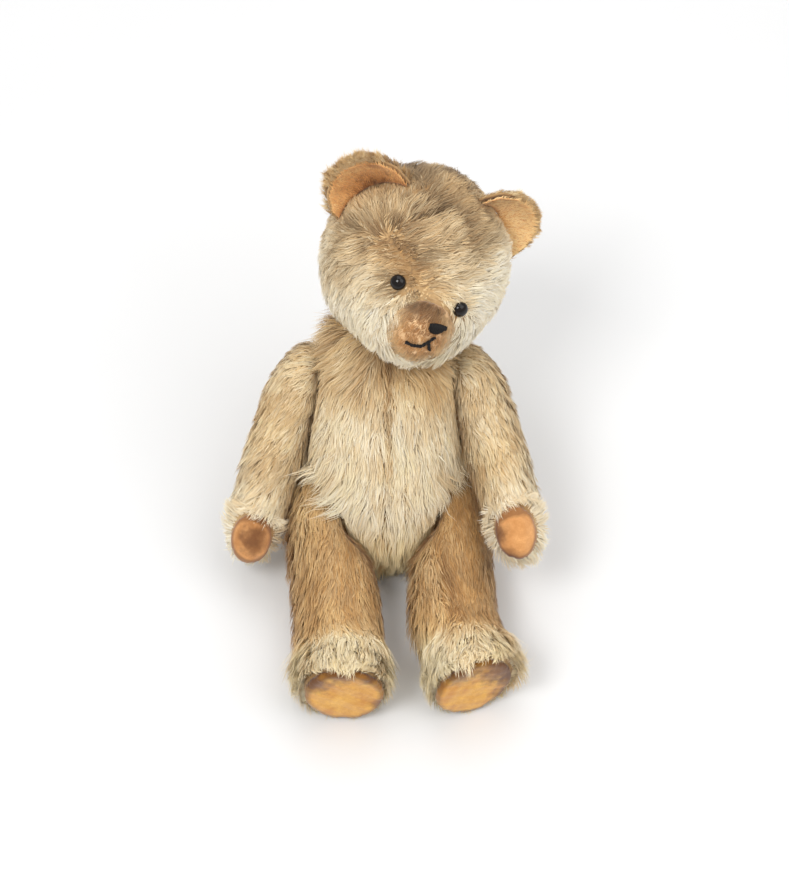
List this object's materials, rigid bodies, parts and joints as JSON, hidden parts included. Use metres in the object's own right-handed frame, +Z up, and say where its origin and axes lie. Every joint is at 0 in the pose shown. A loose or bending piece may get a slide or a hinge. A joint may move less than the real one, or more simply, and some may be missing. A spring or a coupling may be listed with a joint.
{
  "type": "jointed teddy bear",
  "caption": "Worn mohair teddy bear, sitting back with its head dropped to one side; the head, arms and legs turn on disc joints.",
  "frame": {"origin": "on the floor midway between the hip joints, on the flat that the seat rests on", "axes": "+Z up, the bear faces -Y, +X is its left side"},
  "size_m": [0.2394, 0.346, 0.3031],
  "materials": {
    "mohair": "long mohair pile, faded and matted, worn short in places",
    "mohair_honey": "mohair pile worn short, honey coloured",
    "velveteen": "short apricot pile, rubbed and stained brown",
    "wood_wool": "packed wood shavings",
    "hardboard": "pressed board",
    "steel": "plain, slightly dull",
    "eye_glass": "glossy, almost black",
    "floss": "black waxed cotton, frayed"
  },
  "bodies": {
    "torso": {"torso_cover": "mohair", "torso_stuffing": "wood_wool", "neck_disc_torso": "hardboard", "neck_washer_torso": "steel", "neck_cotter_pin": "steel", "left_shoulder_disc_torso": "hardboard", "left_shoulder_washer_torso": "steel", "left_shoulder_cotter_pin": "steel", "left_hip_disc_torso": "hardboard", "left_hip_washer_torso": "steel", "left_hip_cotter_pin": "steel", "right_shoulder_disc_torso": "hardboard", "right_shoulder_washer_torso": "steel", "right_shoulder_cotter_pin": "steel", "right_hip_disc_torso": "hardboard", "right_hip_washer_torso": "steel", "right_hip_cotter_pin": "steel"},
    "head": {"head_cover": "mohair", "head_stuffing": "wood_wool", "muzzle_panel": "velveteen", "nose_stitching": "floss", "mouth_long_stitch": "floss", "mouth_short_stitch": "floss", "left_ear_back": "mohair", "left_ear_lining": "velveteen", "left_eye": "eye_glass", "right_ear_back": "mohair", "right_ear_lining": "velveteen", "right_eye": "eye_glass", "neck_disc_head": "hardboard", "neck_washer_head": "steel"},
    "left_arm": {"left_arm_cover": "mohair", "left_arm_stuffing": "wood_wool", "left_arm_pad": "velveteen", "left_shoulder_disc_arm": "hardboard", "left_shoulder_washer_arm": "steel"},
    "left_leg": {"left_leg_cover": "mohair_honey", "left_leg_stuffing": "wood_wool", "left_leg_pad": "velveteen", "left_hip_disc_leg": "hardboard", "left_hip_washer_leg": "steel"},
    "right_arm": {"right_arm_cover": "mohair", "right_arm_stuffing": "wood_wool", "right_arm_pad": "velveteen", "right_shoulder_disc_arm": "hardboard", "right_shoulder_washer_arm": "steel"},
    "right_leg": {"right_leg_cover": "mohair_honey", "right_leg_stuffing": "wood_wool", "right_leg_pad": "velveteen", "right_hip_disc_leg": "hardboard", "right_hip_washer_leg": "steel"}
  },
  "joints": [
    {"name": "neck", "type": "hinge", "parent": "torso", "child": "head", "pos_m": [0, 0.069, 0.16701], "axis": [0.342, 0.4698, 0.8138], "range_deg": [-180, 30]},
    {"name": "left_shoulder", "type": "hinge", "parent": "torso", "child": "left_arm", "pos_m": [0.053, 0.048, 0.13064], "axis": [0.9659, 0.1294, 0.2241], "range_deg": [-45, 95]},
    {"name": "left_hip", "type": "hinge", "parent": "torso", "child": "left_leg", "pos_m": [0.03978, 0.00418, 0.0475], "axis": [0.9945, 0.1045, 0], "range_deg": [-20, 105]},
    {"name": "right_shoulder", "type": "hinge", "parent": "torso", "child": "right_arm", "pos_m": [-0.053, 0.048, 0.13064], "axis": [0.9659, -0.1294, -0.2241], "range_deg": [-65, 75]},
    {"name": "right_hip", "type": "hinge", "parent": "torso", "child": "right_leg", "pos_m": [-0.03998, -0.0014, 0.0475], "axis": [0.9994, 0.0349, 0], "range_deg": [-20, 105]}
  ]
}
